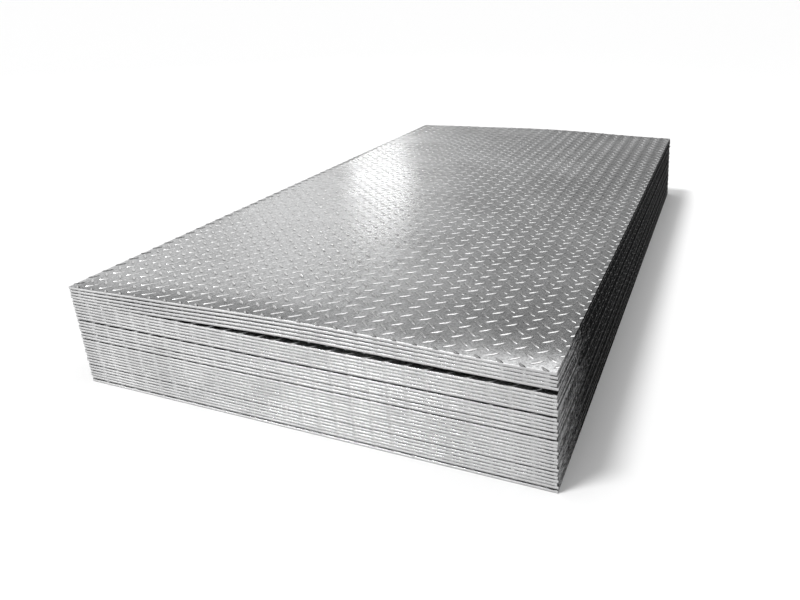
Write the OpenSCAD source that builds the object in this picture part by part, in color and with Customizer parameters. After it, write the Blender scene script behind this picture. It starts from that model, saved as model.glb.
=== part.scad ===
// Stack of steel checker plates, as delivered: flat sheets with a raised tread
// of lens-shaped bars, laid one on the other. Every plate is a piece of its own.
// The origin is the centre of the lowest plate's underside, +Z is up, +Y runs
// along the plates' length and the front end of the stack faces -Y.

/* [Plates] */
// Width of one plate, across the stack
plate_w = 1220; // [900:10:1600]
// Length of one plate, front to back
plate_l = 2440; // [1800:20:3200]
// Thickness of one plate without its tread
plate_t = 6.5; // [3:0.5:10]
// Number of plates in the stack
plate_count = 32; // [12:1:40]

/* [Tread bars] */
// Length of one raised bar, tip to tip
bar_len = 32; // [18:1:34]
// Width of one raised bar at its middle
bar_w = 7; // [4:0.5:10]
// Height of the raised bars above the plate
bar_h = 1.4; // [1:0.1:3]
// Angle of a bar to the plate's width
bar_angle = 45; // [35:1:55]
// Spacing of like bars across the width
pitch_x = 45; // [40:1:60]
// Spacing of like bars along the length
pitch_y = 49; // [40:1:60]
// Centre of the first bar from the right edge
first_x = 44; // [20:1:60]
// Centre of the first whole bar from the front edge, on the flat plates
first_y = 55; // [20:1:60]
// Centre of the first whole bar from the front edge, on the bowed plates
first_y_bowed = 27; // [20:1:60]
// Columns of bars that are made solid on each plate
seat_cols = 6; // [3:1:8]
// Rows of bars that are made solid on each plate
seat_rows = 7; // [3:1:12]

/* [Stack] */
// Clearance between the tread bars and the plate that lies on them
rest_gap = 0.05; // [0:0.01:0.3]
// How far the stack leans to the left from its lowest to its highest plate
lean = 20; // [0:1:40]
// Largest sideways slip of one plate
slip_x = 1.5; // [0:0.5:5]
// Largest lengthways slip of one plate
slip_y = 0.5; // [0:0.5:8]
// Plates, counted from the lowest, whose upper neighbour has sprung open; named twice if twice as far
sprung_over = [1, 6, 15, 17, 21, 21];
// Extra opening at the front end above each of those plates
sprung_gap = 1.8; // [0:0.1:4]

/* [Bowed plates on top] */
// Number of uppermost plates that are bowed across their width
bowed_count = 5; // [1:1:8]
// Rise of the lowest bowed plate at its crest
bow_rise = 12; // [0:0.5:20]
// Drop of the bowed plates from their crest to the right edge
bow_drop = 3; // [0:0.5:10]
// Further opening between one bowed plate and the next
bow_spread = 1.2; // [0:0.1:4]
// Where the bow starts, as a share of the width from the left edge
bow_start = 0.08; // [0.08:0.01:0.2]
// Where the bow has its crest, as a share of the width from the left edge
bow_crest = 0.56; // [0.4:0.01:0.8]
// Where the bowed plates close up again, as a share of the width from the left edge
bow_close = 0.94; // [0.85:0.01:0.95]
// Flat steps that make up the bow
bow_steps = 16; // [8:1:24]

/* [Hidden] */
steel = [0.72, 0.73, 0.74];
layer_h = plate_t + bar_h + rest_gap;
bar_root = plate_t / 2; // depth at which a bar's solid starts inside its plate
bar_arc_r = (bar_len * bar_len + bar_w * bar_w) / (4 * bar_w); // radius of a bar's two curved sides
last_col = floor((plate_w - first_x - bar_len / 2) / pitch_x);
last_row = floor((plate_l - max(first_y, first_y_bowed) - bar_len / 2) / pitch_y);
slip_turn_x = 137.5; // degrees from plate to plate, so that neighbouring slips differ
slip_turn_y = 97;

function plate_name(i) = str("plate_", i < 10 ? "0" : "", i);

// Smooth step from 0 to 1
function ease(t) = let (c = min(max(t, 0), 1)) c * c * (3 - 2 * c);

// Number of a plate within the bowed ones, 1 for the lowest of them, below 1 for a flat plate
function bowed_number(i) = i - (plate_count - bowed_count);

// Rise of the lowest bowed plate at a share u of the width
function bow(u) = bow_rise * ease((u - bow_start) / (bow_crest - bow_start))
                - bow_drop * ease((u - bow_crest) / (1 - bow_crest));

// Further opening between two bowed plates at a share u of the width
function spread(u) = bow_spread * ease(u / (2 * bow_start))
                   * (1 - ease((u - bow_crest) / (bow_close - bow_crest)));

function rise(k, u) = k < 1 ? 0 : bow(u) + (k - 1) * spread(u);

// Shares of the width at which a plate's section has a point
function stations(k) = k < 1 ? [0, 1] : [for (s = [0 : bow_steps]) s / bow_steps];

// Outline of a band of a plate's section, from one height to another above its underside
function band(k, low, high) = concat(
    [for (u = stations(k)) [(u - 0.5) * plate_w, low + rise(k, u)]],
    [for (u = stations(k)) [(0.5 - u) * plate_w, high + rise(k, 1 - u)]]
);

// Front openings that lie below a plate, each of which tilts it by the same small amount
function openings_below(i) = len([for (s = sprung_over) if (s < i) s]);
function tilt(i) = atan(openings_below(i) * sprung_gap / plate_l);

function slip(i) = [slip_x * sin(slip_turn_x * (i - 1)), slip_y * sin(slip_turn_y * (i - 1))];
function lean_at(i) = -lean * (i - 1) / (plate_count - 1);

// Bar numbers that are spread evenly from the first bar to the last
function spread_out(count, last) = [for (s = [0 : count - 1]) round(s * last / (count - 1))];

module section_run(outline) {
    rotate([90, 0, 0])
        linear_extrude(height = plate_l, center = true)
            polygon(outline);
}

module bar_outline() {
    intersection() {
        translate([0, bar_w / 2 - bar_arc_r]) circle(r = bar_arc_r, $fn = 96);
        translate([0, bar_arc_r - bar_w / 2]) circle(r = bar_arc_r, $fn = 96);
    }
}

module seat_bars(height, front_row) {
    for (col = spread_out(seat_cols, last_col))
        for (row = spread_out(seat_rows, last_row))
            translate([plate_w / 2 - first_x - col * pitch_x, front_row + row * pitch_y - plate_l / 2, 0])
                rotate([0, 0, bar_angle])
                    linear_extrude(height = height)
                        bar_outline();
}

module tread(k) {
    if (k < 1)
        translate([0, 0, bar_root]) seat_bars(plate_t + bar_h - bar_root, first_y);
    else
        intersection() {
            seat_bars(plate_t + 2 * bar_h + rise(k, bow_crest), first_y_bowed);
            section_run(band(k, bar_root, plate_t + bar_h));
        }
}

module plate(i) {
    k = bowed_number(i);
    translate([lean_at(i), plate_l / 2, (i - 1) * layer_h])
        rotate([-tilt(i), 0, 0])
            translate([slip(i)[0], slip(i)[1] - plate_l / 2, 0])
                color(steel)
                    union() {
                        section_run(band(k, 0, plate_t));
                        tread(k);
                    }
}

for (i = [1 : plate_count])
    plate(i);
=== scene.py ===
import math
import random

import bmesh
import bpy
from mathutils import Matrix, Vector


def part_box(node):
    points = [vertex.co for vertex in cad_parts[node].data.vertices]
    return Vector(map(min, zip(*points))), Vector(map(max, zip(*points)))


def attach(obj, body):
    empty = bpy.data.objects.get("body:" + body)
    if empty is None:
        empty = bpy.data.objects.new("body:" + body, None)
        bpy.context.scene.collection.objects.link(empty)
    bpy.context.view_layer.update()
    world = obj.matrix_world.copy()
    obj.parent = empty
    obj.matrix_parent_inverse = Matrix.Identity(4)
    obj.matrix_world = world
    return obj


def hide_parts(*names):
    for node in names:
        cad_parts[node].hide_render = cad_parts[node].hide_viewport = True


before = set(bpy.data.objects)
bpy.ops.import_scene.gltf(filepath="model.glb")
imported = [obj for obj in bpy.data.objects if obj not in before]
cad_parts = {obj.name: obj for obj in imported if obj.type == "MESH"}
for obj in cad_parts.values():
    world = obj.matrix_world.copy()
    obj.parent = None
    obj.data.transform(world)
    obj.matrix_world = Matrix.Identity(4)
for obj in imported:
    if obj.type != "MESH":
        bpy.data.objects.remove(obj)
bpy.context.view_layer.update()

# A stack of steel checker plates. Every plate of the frame gets a sheet with sheared ends,
# rolled sides and its raised tread; only the top plate carries the whole tread, the others
# carry what shows along their edges.

plateNames = sorted(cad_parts)
topName = plateNames[-1]
print("frame:", len(plateNames), "plates")

tiny = 1e-6       # metres, below which two places are the same
endZone = 0.0012  # points of a solid this close to its end belong to the end's outline

sheet = {
    "columns": 48,        # faces across a sheet
    "rows": 24,           # faces along a sheet
    "rollover": 0.0007,   # rounding that the shear leaves on the upper rim
    "rolloverSteps": 3,
    "burr": 0.00025,      # rounding of the lower rim
    "wave": 0.0003,       # height of the faint waves left by levelling, on the top plate
    "raggedEnd": 0.0004,  # how far a sheared end wanders
    "raggedSide": 0.0002,  # how far a rolled side wanders
    "inset": 0.05,        # share added to each of these, so that a sheet stays in its own solid
    "sideShadeReach": 0.012,  # how far painted shade reaches in from a rolled side
    "sideShadeLevel": -0.4,    # painted-light value of that painted shade
}

bar = {
    "length": 0.033,
    "width": 0.0092,         # with the fillet along its foot
    "height": 0.0014,
    "sunk": 0.0004,          # depth of the bar's closed foot inside the sheet
    "taper": 0.75,           # power of the outline: 0.5 is an ellipse, more gives finer tips
    "turn": math.radians(45),
    "acrossPitch": 0.045,
    "alongPitch": 0.049,
    "fromRight": 0.044,      # first bar's centre, from the right edge
    "fromFront": 0.006,      # first bar's centre, from the front end of a flat plate
    "fromFrontBowed": 0.027,
    "points": 8,             # points round a bar
    "edgeRows": 2,           # rows of bar pairs at the front of a covered plate
    "openRows": 6,           # the same on the plate under the wide gap
    "backRows": 3,           # rows at the back of a covered plate
    "rightColumns": 3,       # columns along the right side of a covered plate
    "leftColumns": 4,        # columns along its left side
}

# what a bar's face is made of from its foot up: height, length share, width share, painted light
# (below 0 painted shade at the foot, above 0 a painted highlight on the crest)
fineLevels = ((0.04, 1, 1, -0.8), (0.62, 0.93, 0.64, 0.9), (1, 0.8, 0.24, 1))
coarseLevels = ((1, 0.9, 0.56, 1),)


def readPlate(name):
    # a plate's place, read from its own solid: edges, thickness, section and slope
    low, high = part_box(name)
    points = [vertex.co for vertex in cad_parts[name].data.vertices]
    stations = {}
    for point in points:
        if point.y < low.y + endZone:
            stations.setdefault(round(point.x, 4), []).append(point.z)
    xs = sorted(stations)
    tops = [max(stations[x]) for x in xs]
    backTops = [
        point.z for point in points
        if point.y > high.y - endZone and point.x < low.x + endZone
    ]
    length = high.y - low.y
    return {
        "name": name,
        "left": xs[0],
        "front": low.y,
        "width": xs[-1] - xs[0],
        "length": length,
        "thickness": max(stations[xs[0]]) - min(stations[xs[0]]),
        "tops": tops,
        "slope": (max(backTops) - tops[0]) / length,
        "bowed": len(xs) > 2,
    }


def topHeight(plate, x, y):
    # height of the upper face, smooth through the stations of a bowed section
    tops = plate["tops"]
    steps = len(tops) - 1
    place = min(max(x / plate["width"], 0), 1) * steps
    i = min(int(place), steps - 1)
    t = place - i
    a, b = tops[i], tops[i + 1]
    if plate["bowed"]:
        before = tops[max(i - 1, 0)]
        after = tops[min(i + 2, steps)]
        m0, m1 = (b - before) / 2, (after - a) / 2
        t2, t3 = t * t, t * t * t
        z = (2*t3 - 3*t2 + 1) * a + (t3 - 2*t2 + t) * m0 + (3*t2 - 2*t3) * b + (t3 - t2) * m1
    else:
        z = a + (b - a) * t
    return z + plate["slope"] * y


def barSolid(levels):
    # one closed bar, long way along X, its foot sunk below the sheet's face
    bm = bmesh.new()
    paintedLight = bm.verts.layers.float.new("paintedLight")
    bm.verts.layers.float.new("through")
    bmesh.ops.create_circle(bm, cap_ends=True, segments=bar["points"], radius=1)
    for vertex in bm.verts:
        x, y, z = vertex.co
        side = math.copysign(1, y) if abs(y) > tiny else 0
        wide = side * (1 - x ** 2) ** bar["taper"]
        vertex.co = Vector((x * bar["length"] / 2, wide * bar["width"] / 2, -bar["sunk"]))
    top = bm.faces[:][0]
    for lift, longShare, wideShare, sheenAndShade in levels:
        out = bmesh.ops.extrude_face_region(bm, geom=[top])
        top = [item for item in out["geom"] if isinstance(item, bmesh.types.BMFace)][0]
        for vertex in top.verts:
            vertex.co.x *= longShare
            vertex.co.y *= wideShare
            vertex.co.z = lift * bar["height"]
            # each level's painted light: painted shade at the foot, a painted highlight on the
            # crest
            vertex[paintedLight] = sheenAndShade
    bmesh.ops.recalc_face_normals(bm, faces=bm.faces)
    return bm


def repeat(bm, geom, step, count):
    # lays count copies of geom, one step apart, and returns them all
    everything = list(geom)
    for n in range(1, count):
        copied = bmesh.ops.duplicate(bm, geom=geom)["geom"]
        verts = [item for item in copied if isinstance(item, bmesh.types.BMVert)]
        bmesh.ops.translate(bm, verts=verts, vec=Vector(step) * n)
        everything += copied
    return everything


def addTo(bm, part):
    # adds one bmesh to another
    mesh = bpy.data.meshes.new("part")
    part.to_mesh(mesh)
    bm.from_mesh(mesh)
    bpy.data.meshes.remove(mesh)


def layBars(bm, solid, firstX, firstY, columns, rows):
    # a block of bar pairs, one bar each way, running left and back from the first
    for turn, x, y in (
        (bar["turn"], 0, 0),
        (-bar["turn"], -bar["acrossPitch"] / 2, bar["alongPitch"] / 2),
    ):
        one = solid.copy()
        bmesh.ops.rotate(one, verts=one.verts, matrix=Matrix.Rotation(turn, 3, "Z"))
        bmesh.ops.translate(one, verts=one.verts, vec=(firstX + x, firstY + y, 0))
        known = set(bm.verts), set(bm.edges), set(bm.faces)
        addTo(bm, one)
        one.free()
        geom = [v for v in bm.verts if v not in known[0]]
        geom += [e for e in bm.edges if e not in known[1]]
        geom += [f for f in bm.faces if f not in known[2]]
        row = repeat(bm, geom, (-bar["acrossPitch"], 0, 0), columns)
        repeat(bm, row, (0, bar["alongPitch"], 0), rows)


def trimToSheet(bm, width, length):
    # the shear cuts through every bar that lies across an edge
    for place, outward in (
        ((0, 0, 0), (0, -1, 0)),
        ((0, length, 0), (0, 1, 0)),
        ((0, 0, 0), (-1, 0, 0)),
        ((width, 0, 0), (1, 0, 0)),
    ):
        geom = bm.verts[:] + bm.edges[:] + bm.faces[:]
        bmesh.ops.bisect_plane(
            bm, geom=geom, dist=tiny, plane_co=place, plane_no=outward, clear_outer=True)
        rim = [edge for edge in bm.edges if edge.is_boundary]
        bmesh.ops.holes_fill(bm, edges=rim, sides=0)


def treadMesh(width, length, firstY, solid, edgeRows):
    # the tread of one sheet in its own frame, X from the left edge and Y from the front end;
    # it starts one pitch outside the sheet and is cut back to it
    bm = bmesh.new()
    bm.verts.layers.float.new("paintedLight")
    bm.verts.layers.float.new("through")
    across, along = bar["acrossPitch"], bar["alongPitch"]
    firstX = width - bar["fromRight"] + across
    firstY -= along
    columns = math.ceil((firstX + bar["length"] / 2) / across) + 1
    rows = math.ceil((length - firstY + bar["length"] / 2) / along) + 1
    if edgeRows is None:
        layBars(bm, solid, firstX, firstY, columns, rows)
    else:
        backY = firstY + (rows - bar["backRows"]) * along
        leftX = firstX - (columns - bar["leftColumns"]) * across
        midY = firstY + edgeRows * along
        midRows = rows - edgeRows - bar["backRows"]
        layBars(bm, solid, firstX, firstY, columns, edgeRows)
        layBars(bm, solid, firstX, backY, columns, bar["backRows"])
        layBars(bm, solid, firstX, midY, bar["rightColumns"], midRows)
        layBars(bm, solid, leftX, midY, bar["leftColumns"], midRows)
    trimToSheet(bm, width, length)
    return bm


def sheetMesh(width, length, thickness):
    # the bare sheet in its own frame, upper face at height 0
    bm = bmesh.new()
    bm.verts.layers.float.new("paintedLight")
    through = bm.verts.layers.float.new("through")
    bmesh.ops.create_grid(bm, x_segments=sheet["columns"], y_segments=sheet["rows"], size=0.5)
    bmesh.ops.scale(bm, verts=bm.verts, vec=(width, length, 1))
    bmesh.ops.translate(bm, verts=bm.verts, vec=(width / 2, length / 2, 0))
    out = bmesh.ops.extrude_face_region(bm, geom=bm.faces[:])
    lower = [item for item in out["geom"] if isinstance(item, bmesh.types.BMVert)]
    bmesh.ops.translate(bm, verts=lower, vec=(0, 0, -thickness))
    bmesh.ops.recalc_face_normals(bm, faces=bm.faces)

    def rim(height):
        return [
            edge for edge in bm.edges
            if all(abs(v.co.z - height) < tiny for v in edge.verts)
            and len(edge.link_faces) == 2
            and min(abs(f.normal.z) for f in edge.link_faces) < 0.1
        ]

    for height, size, segments in (
        (0, sheet["rollover"], sheet["rolloverSteps"]),
        (-thickness, sheet["burr"], 1),
    ):
        bmesh.ops.bevel(
            bm, geom=rim(height), offset=size, affect="EDGES",
            segments=segments, profile=0.5, material=-1)
    for vertex in bm.verts:
        vertex[through] = 1 + vertex.co.z / thickness
    return bm


def paintSideShade(bm, width):
    # on a covered plate, painted shade on the faces and bars near the rolled sides, in the gaps
    # between the plates
    paintedLight = bm.verts.layers.float["paintedLight"]
    for vertex in bm.verts:
        if min(vertex.co.x, width - vertex.co.x) < sheet["sideShadeReach"]:
            vertex[paintedLight] = sheet["sideShadeLevel"]


def wander(rng, waves, longest):
    # a seeded sum of sines, between 0 and 1, along one direction
    terms = [
        (rng.uniform(0.35, 1), rng.uniform(0, math.tau), longest / (n + 1))
        for n in range(waves)
    ]
    total = sum(term[0] for term in terms)

    def value(s):
        return 0.5 + 0.5 * sum(a * math.sin(s * math.tau / w + p) for a, p, w in terms) / total
    return value


def settle(bm, plate, rng):
    # moves a sheet from its own frame to its place in the stack, with its small unevenness;
    # the waves are the same for all plates and grow with the height in the stack
    frontEnd = wander(rng, 5, 0.5)
    rightSide = wander(rng, 5, 0.8)
    inset = sheet["inset"]
    depth = sheet["wave"] * plateNames.index(plate["name"]) / (len(plateNames) - 1)
    for vertex in bm.verts:
        x, y, z = vertex.co
        dip = depth * (acrossWave(x) + alongWave(y) + inset)
        drawIn = 1 - 2 * y / plate["length"]
        drawSide = 1 - 2 * x / plate["width"]
        vertex.co = Vector((
            plate["left"] + x + sheet["raggedSide"] * drawSide * (rightSide(y) + inset),
            plate["front"] + y + sheet["raggedEnd"] * drawIn * frontEnd(x),
            topHeight(plate, x, y) + z - dip,
        ))


# materials of a plate, and how a face of the last two is told: how far its normal leans
# outward at least, and how far from the end or side it may lie
treadFace, endFace, sideFace = 0, 1, 2
endLean, endDepth = 0.8, 0.0004
sideLean, sideDepth = 0.25, 0.0006


def paintFaces(bm, width, length):
    for face in bm.faces:
        middle = face.calc_center_median()
        normal = face.normal
        if abs(normal.y) > endLean and min(middle.y, length - middle.y) < endDepth:
            face.material_index = endFace
        elif abs(normal.x) > sideLean and min(middle.x, width - middle.x) < sideDepth:
            face.material_index = sideFace
        else:
            face.material_index = treadFace
        face.smooth = True


def node(tree, kind, inputs=None, **fields):
    made = tree.nodes.new(kind)
    for field, value in fields.items():
        setattr(made, field, value)
    for socket, value in (inputs or {}).items():
        if isinstance(value, bpy.types.NodeSocket):
            tree.links.new(value, made.inputs[socket])
        else:
            made.inputs[socket].default_value = value
    return made


def mapped(tree, stretch=(1, 1, 1), turn=0):
    coords = node(tree, "ShaderNodeTexCoord")
    return node(tree, "ShaderNodeMapping", {
        "Vector": coords.outputs["Object"],
        "Scale": stretch,
        "Rotation": (0, 0, turn),
    }).outputs["Vector"]


def noise(tree, scale, detail=2, rough=0.5, stretch=(1, 1, 1), turn=0):
    return node(tree, "ShaderNodeTexNoise", {
        "Vector": mapped(tree, stretch, turn),
        "Scale": scale,
        "Detail": detail,
        "Roughness": rough,
    }).outputs["Fac"]


def spread(tree, value, fromLow, fromHigh, toLow, toHigh):
    return node(tree, "ShaderNodeMapRange", {
        "Value": value,
        "From Min": fromLow,
        "From Max": fromHigh,
        "To Min": toLow,
        "To Max": toHigh,
    }).outputs["Result"]


def axisOf(tree, vector, axis):
    return node(tree, "ShaderNodeSeparateXYZ", {"Vector": vector}).outputs[axis]


def combine(tree, operation, a, b):
    return node(tree, "ShaderNodeMath", {0: a, 1: b}, operation=operation).outputs[0]


def weighed(tree, a, b, share):
    # a share of a, and b for the rest
    return combine(
        tree, "ADD",
        combine(tree, "MULTIPLY", a, share),
        combine(tree, "MULTIPLY", b, 1 - share))


def blendColour(tree, amount, a, b, kind="MIX"):
    return node(
        tree, "ShaderNodeMix", {0: amount, 6: a, 7: b},
        data_type="RGBA", blend_type=kind).outputs[2]


def bumped(tree, height, distance, strength, below=None):
    inputs = {"Height": height, "Distance": distance, "Strength": strength}
    if below is not None:
        inputs["Normal"] = below
    return node(tree, "ShaderNodeBump", inputs).outputs["Normal"]


def newMaterial(name):
    material = bpy.data.materials.new(name)
    material.use_nodes = True
    tree = material.node_tree
    return material, tree, tree.nodes["Principled BSDF"]


# the values that a noise is stretched from, for more contrast or less
strong = (0.35, 0.65)
mild = (0.3, 0.7)

treadLook = {
    "clouds": {"scale": 3.2, "detail": 4, "rough": 0.6},
    "streaks": {"scale": 26, "detail": 3, "stretch": (7, 0.35, 1)},
    "grain": {"scale": 900},
    "scratches": {"scale": 70, "stretch": (14, 0.5, 1), "turn": math.radians(24)},
    "grit": {"scale": 170, "detail": 4, "rough": 0.75},
    "swell": {"scale": 4, "detail": 0},
    "cloudShare": 0.6,     # of clouds against streaks
    "dark": (0.60, 0.603, 0.607, 1),
    "light": (0.78, 0.783, 0.787, 1),
    "footAndSideShade": (0.12, 0.12, 0.12, 1),   # painted shade along a bar's foot, and beside a rolled side
    "shadeWholeAt": -0.5,      # painted-light value from which the shade colour is whole
    # colour of the painted highlight on the bars' crests
    "sheenAndShade": (0.97, 0.97, 0.97, 1),
    "gritTones": (0.66, 1.32),       # what the grit multiplies the colour by
    "rough": (0.24, 0.32),
    "grainRough": 0.03,    # how much the grain adds to that or takes off
    "scratched": (0.68, 0.75),       # noise values at which a scratch starts and is whole
    "scratchSmooth": 0.08,  # how much smoother a scratch is
    "sheenSmooth": 0.02,    # how much smoother the crests under the painted highlight are
    "swellBump": (0.002, 0.2),       # distance, strength
    "grainBump": (0.0001, 0.5),
    "scratchBump": (0.0001, 0.3),
}


def treadSteel():
    # bright rolled steel: clouds and streaks in the colour, grain and scratches in the gloss
    material, tree, shader = newMaterial("brightTreadSteel")
    look = treadLook
    clouds = noise(tree, **look["clouds"])
    streaks = noise(tree, **look["streaks"])
    grain = noise(tree, **look["grain"])
    scratches = noise(tree, **look["scratches"])
    patch = weighed(tree, clouds, streaks, look["cloudShare"])
    ground = blendColour(tree, spread(tree, patch, *strong, 0, 1), look["dark"], look["light"])
    # painted light carried by the mesh: a painted highlight on the bar crests, painted shade at
    # the bar feet and beside the rolled sides
    sheenAndShade = node(tree, "ShaderNodeAttribute", attribute_name="paintedLight").outputs["Fac"]
    colour = blendColour(tree, sheenAndShade, ground, look["sheenAndShade"])
    # painted shade at the bar feet and beside the rolled sides
    footAndSideShade = spread(tree, sheenAndShade, 0, look["shadeWholeAt"], 0, 1)
    colour = blendColour(tree, footAndSideShade, colour, look["footAndSideShade"])
    grit = spread(tree, noise(tree, **look["grit"]), *strong, *look["gritTones"])
    colour = blendColour(tree, 1, colour, grit, "MULTIPLY")
    tree.links.new(colour, shader.inputs["Base Color"])
    spots = look["grainRough"]
    gloss = spread(tree, clouds, *strong, *look["rough"])
    gloss = combine(tree, "ADD", gloss, spread(tree, grain, *mild, -spots, spots))
    scratched = spread(tree, scratches, *look["scratched"], 0, look["scratchSmooth"])
    gloss = combine(tree, "SUBTRACT", gloss, scratched)
    sheenGloss = combine(tree, "MULTIPLY", sheenAndShade, look["sheenSmooth"])
    tree.links.new(combine(tree, "SUBTRACT", gloss, sheenGloss), shader.inputs["Roughness"])
    normal = bumped(tree, noise(tree, **look["swell"]), *look["swellBump"])
    normal = bumped(tree, grain, *look["grainBump"], normal)
    normal = bumped(tree, scratches, *look["scratchBump"], normal)
    tree.links.new(normal, shader.inputs["Normal"])
    shader.inputs["Metallic"].default_value = 1
    return material


endLook = {
    "teeth": {"scale": 40, "detail": 3, "stretch": (22, 22, 1.5)},
    "patches": {"scale": 9, "detail": 3},
    "burnished": (0.95, 0.95, 0.95, 1),
    "torn": (0.46, 0.46, 0.463, 1),
    "ragged": 0.25,           # how far the edge of the torn zone wanders, in thicknesses
    "tornZone": (0.3, 0.62),  # where it starts to end and ends, in thicknesses
    "patchTones": (0.55, 1.15),
    "rightShade": 0.55,          # painted shade: how much of the burnish is left at the right end
    "rightShadeFrom": 0.1,       # places across the stack between which it fades
    "rightShadeTo": 0.6,
    "rough": (0.34, 0.5),
    "bump": (0.0003, 0.5),
}


def shearedSteel():
    # a cut end: burnished at the top where the blade slid, torn and greyer below
    material, tree, shader = newMaterial("shearedSteel")
    look = endLook
    through = node(tree, "ShaderNodeAttribute", attribute_name="through").outputs["Fac"]
    teeth = noise(tree, **look["teeth"])
    patches = noise(tree, **look["patches"])
    uneven = spread(tree, teeth, *mild, -look["ragged"], look["ragged"])
    cut = spread(tree, combine(tree, "ADD", through, uneven), *look["tornZone"], 0, 1)
    shade = combine(tree, "MULTIPLY", cut, spread(tree, patches, *mild, *look["patchTones"]))
    # painted shade: the ends grow darker towards the right of the stack
    across = axisOf(tree, mapped(tree), "X")
    left = spread(tree, across, look["rightShadeFrom"], look["rightShadeTo"], 1, look["rightShade"])
    shade = combine(tree, "MULTIPLY", shade, left)
    colour = blendColour(tree, shade, look["torn"], look["burnished"])
    tree.links.new(colour, shader.inputs["Base Color"])
    tree.links.new(spread(tree, teeth, *mild, *look["rough"]), shader.inputs["Roughness"])
    tree.links.new(bumped(tree, teeth, *look["bump"]), shader.inputs["Normal"])
    shader.inputs["Metallic"].default_value = 1
    return material


sideLook = {
    "flakes": {"scale": 160, "detail": 3, "rough": 0.6, "stretch": (1, 0.5, 1)},
    "runs": {"scale": 14, "detail": 3, "stretch": (1, 0.4, 6)},
    "flakeShare": 0.65,    # of flakes against runs
    # near-black scale: painted shade standing for the shade on the stack's side
    "scale": (0.013, 0.013, 0.0135, 1),
    "bare": (0.42, 0.42, 0.425, 1),
    "bareFrom": 0.62,      # noise values between which scale gives way to bare steel
    "bareTo": 0.80,
    "frontLight": 0.29,        # painted light: how much is added to them at the front end
    "frontLightLength": 0.4,   # how far back from the front end
    "bump": (0.0003, 0.6),
}


def rolledSideSteel():
    # a mill edge: scale painted near black as painted shade, with bare specks that grow into
    # painted light towards the front end
    material, tree, shader = newMaterial("rolledSideSteel")
    look = sideLook
    flakes = noise(tree, **look["flakes"])
    level = weighed(tree, flakes, noise(tree, **look["runs"]), look["flakeShare"])
    # painted light: more bare specks towards the front end, so the side is lighter there
    front = plates[0]["front"]
    along = axisOf(tree, mapped(tree), "Y")
    frontLight = spread(tree, along, front, front + look["frontLightLength"], look["frontLight"], 0)
    level = combine(tree, "ADD", level, frontLight)
    bare = spread(tree, level, look["bareFrom"], look["bareTo"], 0, 1)
    tree.links.new(
        blendColour(tree, bare, look["scale"], look["bare"]), shader.inputs["Base Color"])
    tree.links.new(bumped(tree, flakes, *look["bump"]), shader.inputs["Normal"])
    shader.inputs["Metallic"].default_value = 0
    shader.inputs["Roughness"].default_value = 0.9
    # scale has no gloss of its own, even seen flat along it
    shader.inputs["IOR"].default_value = 1
    return material


def finish(name, bm, nodeName, materials):
    mesh = bpy.data.meshes.new(name)
    bm.to_mesh(mesh)
    bm.free()
    for material in materials:
        mesh.materials.append(material)
    mesh.set_sharp_from_angle(angle=math.radians(38))
    piece = bpy.data.objects.new(name, mesh)
    bpy.context.scene.collection.objects.link(piece)
    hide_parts(nodeName)
    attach(piece, "root")


plates = [readPlate(name) for name in plateNames]
lastFlat = [plate for plate in plates if not plate["bowed"]][-1]
materials = [treadSteel(), shearedSteel(), rolledSideSteel()]   # in the order of the face numbers
print("materials:", [material.name for material in materials])

fineBar = barSolid(fineLevels)
coarseBar = barSolid(coarseLevels)
shared = {}


def plateMesh(plate, solid, firstY, edgeRows):
    # plates of one kind share their mesh until each is settled in its place
    kind = (plate["bowed"], edgeRows)
    if kind not in shared:
        width, length = plate["width"], plate["length"]
        bm = bmesh.new()
        for piece in (
            sheetMesh(width, length, plate["thickness"]),
            treadMesh(width, length, firstY, solid, edgeRows),
        ):
            addTo(bm, piece)
            piece.free()
        bm.normal_update()
        if edgeRows is not None:
            paintSideShade(bm, width)
        paintFaces(bm, width, length)
        print("tread:", kind, len(bm.faces), "faces")
        shared[kind] = bm
    return shared[kind].copy()


rng = random.Random(31)
acrossWave = wander(rng, 4, 0.9)
alongWave = wander(rng, 4, 1.3)
for plate in plates:
    if plate["name"] == topName:
        solid, edgeRows = fineBar, None
    elif plate is lastFlat:
        solid, edgeRows = coarseBar, bar["openRows"]
    else:
        solid, edgeRows = coarseBar, bar["edgeRows"]
    firstY = bar["fromFrontBowed"] if plate["bowed"] else bar["fromFront"]
    bm = plateMesh(plate, solid, firstY, edgeRows)
    settle(bm, plate, rng)
    finish("checkerPlate" + plate["name"][-2:], bm, plate["name"], materials)
print("plates:", len(plates), "settled")


studio = {
    "floorSize": 400,
    "floorColour": (0.9, 0.9, 0.9, 1),
    # height of the direction and brightness: a pale band round the horizon, darker upper
    # walls and a lit ceiling
    "sky": ((0.0, 0.40), (0.40, 0.40), (0.48, 0.12), (0.66, 0.12), (0.80, 1.6)),
    "darkerRight": 0.5,      # brightness of the sky's right half against its left
    "fade": (-0.3, 0),       # directions across, between which it darkens
    "sun": 2.0,
    "sunHeading": (0.38, 0.36, -0.85),
    "sunWidth": 14,          # degrees
    "cameraPlace": (0.808, -2.46, 0.955),
    "cameraTurn": (66.649, 0.658, 23.227),   # degrees
    "lens": 33.37,           # millimetres, for a sensor 36 wide
    "sensor": 36,
    "farthest": 900,
}

# soft boxes: place, the point each faces, size in metres and brightness of its face
softBoxes = {
    "overhead": ((0.6, 0.9, 2.9), (0.3, 0, 0.3), (2.0, 2.0), 1.0),
    "backGlow": ((-2.5, 4.5, 1.4), (-0.43, 0.08, 0.27), (0.6, 0.4), 4.2),
    "backHaze": ((-2.9, 4.6, 2.0), (-0.43, -0.2, 0.27), (2.4, 2.2), 0.16),
    "leftWall": ((-5.5, 4.2, 2.2), (0, -0.6, 0.3), (5, 2.6), 0.38),
}


def toward(direction):
    return Vector(direction).to_track_quat("-Z", "Y").to_euler()


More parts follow.
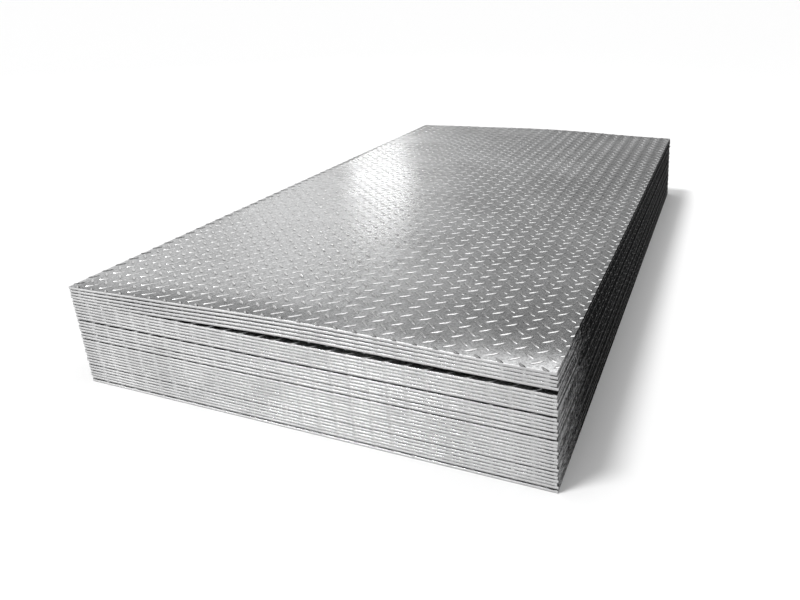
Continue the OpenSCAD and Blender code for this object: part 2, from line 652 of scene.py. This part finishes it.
def makeFloor():
    bm = bmesh.new()
    bmesh.ops.create_grid(bm, x_segments=1, y_segments=1, size=studio["floorSize"] / 2)
    mesh = bpy.data.meshes.new("studioFloor")
    bm.to_mesh(mesh)
    bm.free()
    floor = bpy.data.objects.new("studioFloor", mesh)
    bpy.context.scene.collection.objects.link(floor)
    material, tree, shader = newMaterial("paleFloor")
    shader.inputs["Base Color"].default_value = studio["floorColour"]
    shader.inputs["Roughness"].default_value = 0.8
    shader.inputs["Specular IOR Level"].default_value = 0.1
    mesh.materials.append(material)


def makeSky():
    world = bpy.data.worlds.new("studioWorld")
    bpy.context.scene.world = world
    world.use_nodes = True
    tree = world.node_tree
    background = tree.nodes["Background"]
    direction = node(tree, "ShaderNodeTexCoord").outputs["Generated"]
    ramp = node(tree, "ShaderNodeValToRGB", {"Fac": axisOf(tree, direction, "Z")})
    stops = ramp.color_ramp.elements
    while len(stops) < len(studio["sky"]):
        stops.new(0.5)
    for stop, (place, brightness) in zip(stops, studio["sky"]):
        stop.position = place
        stop.color = (brightness, brightness, brightness, 1)
    tree.links.new(ramp.outputs["Color"], background.inputs["Color"])
    across = axisOf(tree, direction, "X")
    strength = spread(tree, across, *studio["fade"], 1, studio["darkerRight"])
    tree.links.new(strength, background.inputs["Strength"])


def makeLights():
    for name, (place, target, size, brightness) in softBoxes.items():
        data = bpy.data.lights.new(name, "AREA")
        data.shape = "RECTANGLE"
        data.size, data.size_y = size
        data.energy = brightness * math.pi * size[0] * size[1]
        light = bpy.data.objects.new(name, data)
        bpy.context.scene.collection.objects.link(light)
        light.location = place
        light.rotation_euler = toward(Vector(target) - Vector(place))
        light.visible_camera = False
    sun = bpy.data.lights.new("key", "SUN")
    sun.energy = studio["sun"]
    sun.angle = math.radians(studio["sunWidth"])
    key = bpy.data.objects.new("key", sun)
    bpy.context.scene.collection.objects.link(key)
    key.rotation_euler = toward(studio["sunHeading"])


def makeCamera():
    data = bpy.data.cameras.new("camera")
    data.lens = studio["lens"]
    data.sensor_width = studio["sensor"]
    data.clip_end = studio["farthest"]
    camera = bpy.data.objects.new("camera", data)
    bpy.context.scene.collection.objects.link(camera)
    camera.location = studio["cameraPlace"]
    camera.rotation_euler = [math.radians(angle) for angle in studio["cameraTurn"]]
    bpy.context.scene.camera = camera


makeFloor()
makeSky()
makeLights()
makeCamera()
bpy.context.scene.view_settings.view_transform = "Standard"
print("studio: floor, lights and camera")
